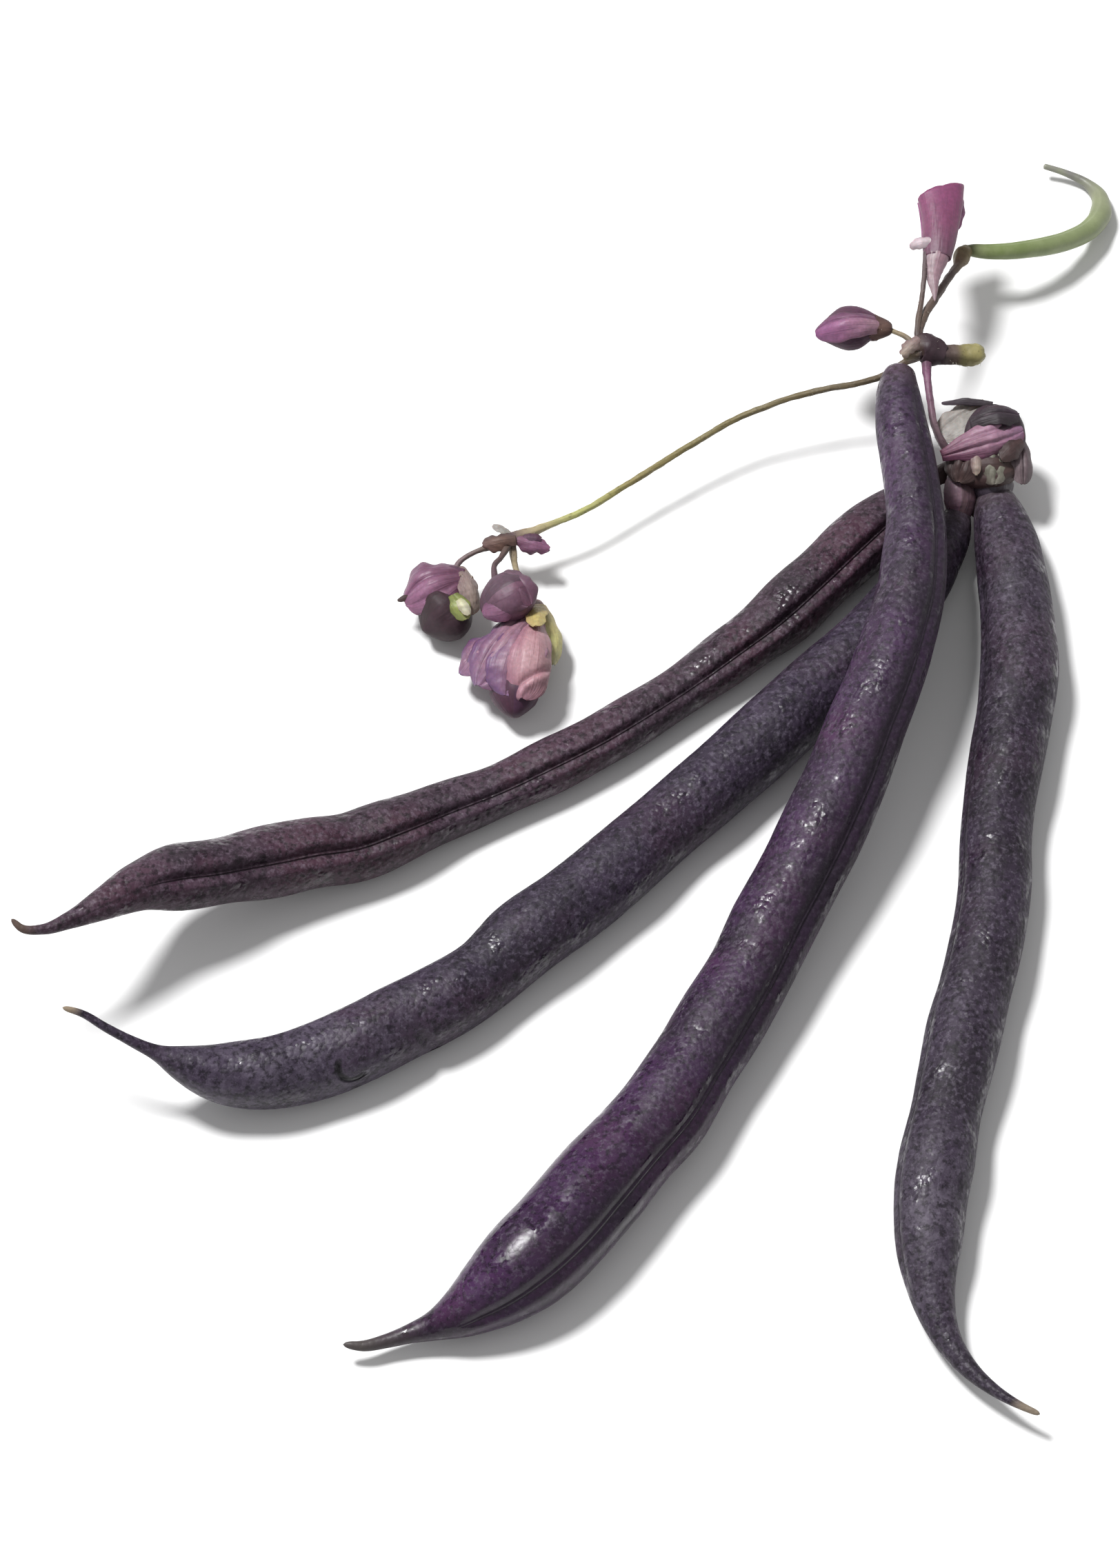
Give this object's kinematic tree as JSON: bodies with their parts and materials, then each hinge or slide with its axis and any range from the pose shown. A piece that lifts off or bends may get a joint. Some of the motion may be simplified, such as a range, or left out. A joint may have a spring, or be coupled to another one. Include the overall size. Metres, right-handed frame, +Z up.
{
  "type": "purple pod bean",
  "caption": "Cut bean raceme lying on a table: slender ripe purple pods fanned from a thin stem, with blossoms, buds and a young green pod.",
  "frame": {"origin": "middle of the raceme's footprint, on the surface it lies on", "axes": "+Z up from the surface, +Y from the beaks of the longest pods towards the cut stem and the top flower, +X towards the pod on the right"},
  "size_m": [0.1289, 0.1685, 0.0163],
  "materials": {
    "pod_red_purple": "waxy skin, reddish purple, satin",
    "pod_grey_purple": "waxy skin, greyish purple, satin",
    "pod_violet": "waxy skin, violet, glossy",
    "stem": "olive brown stem, matte",
    "young_green": "young green pod skin, satin",
    "petal_pink": "pink petals, matte",
    "petal_lilac": "lilac petals, matte",
    "petal_dark": "dark maroon petals, matte"
  },
  "bodies": {
    "root": {"pod_1": "pod_red_purple", "pod_2": "pod_grey_purple", "pod_3": "pod_violet", "pod_4": "pod_grey_purple", "young_pod": "young_green", "raceme_stem": "stem", "blossom_top": "petal_pink", "blossom_big": "petal_lilac", "blossom_joint": "petal_pink", "bud_upper": "petal_pink", "bud_low_left": "petal_pink", "bud_low_middle": "petal_dark"}
  },
  "joints": []
}
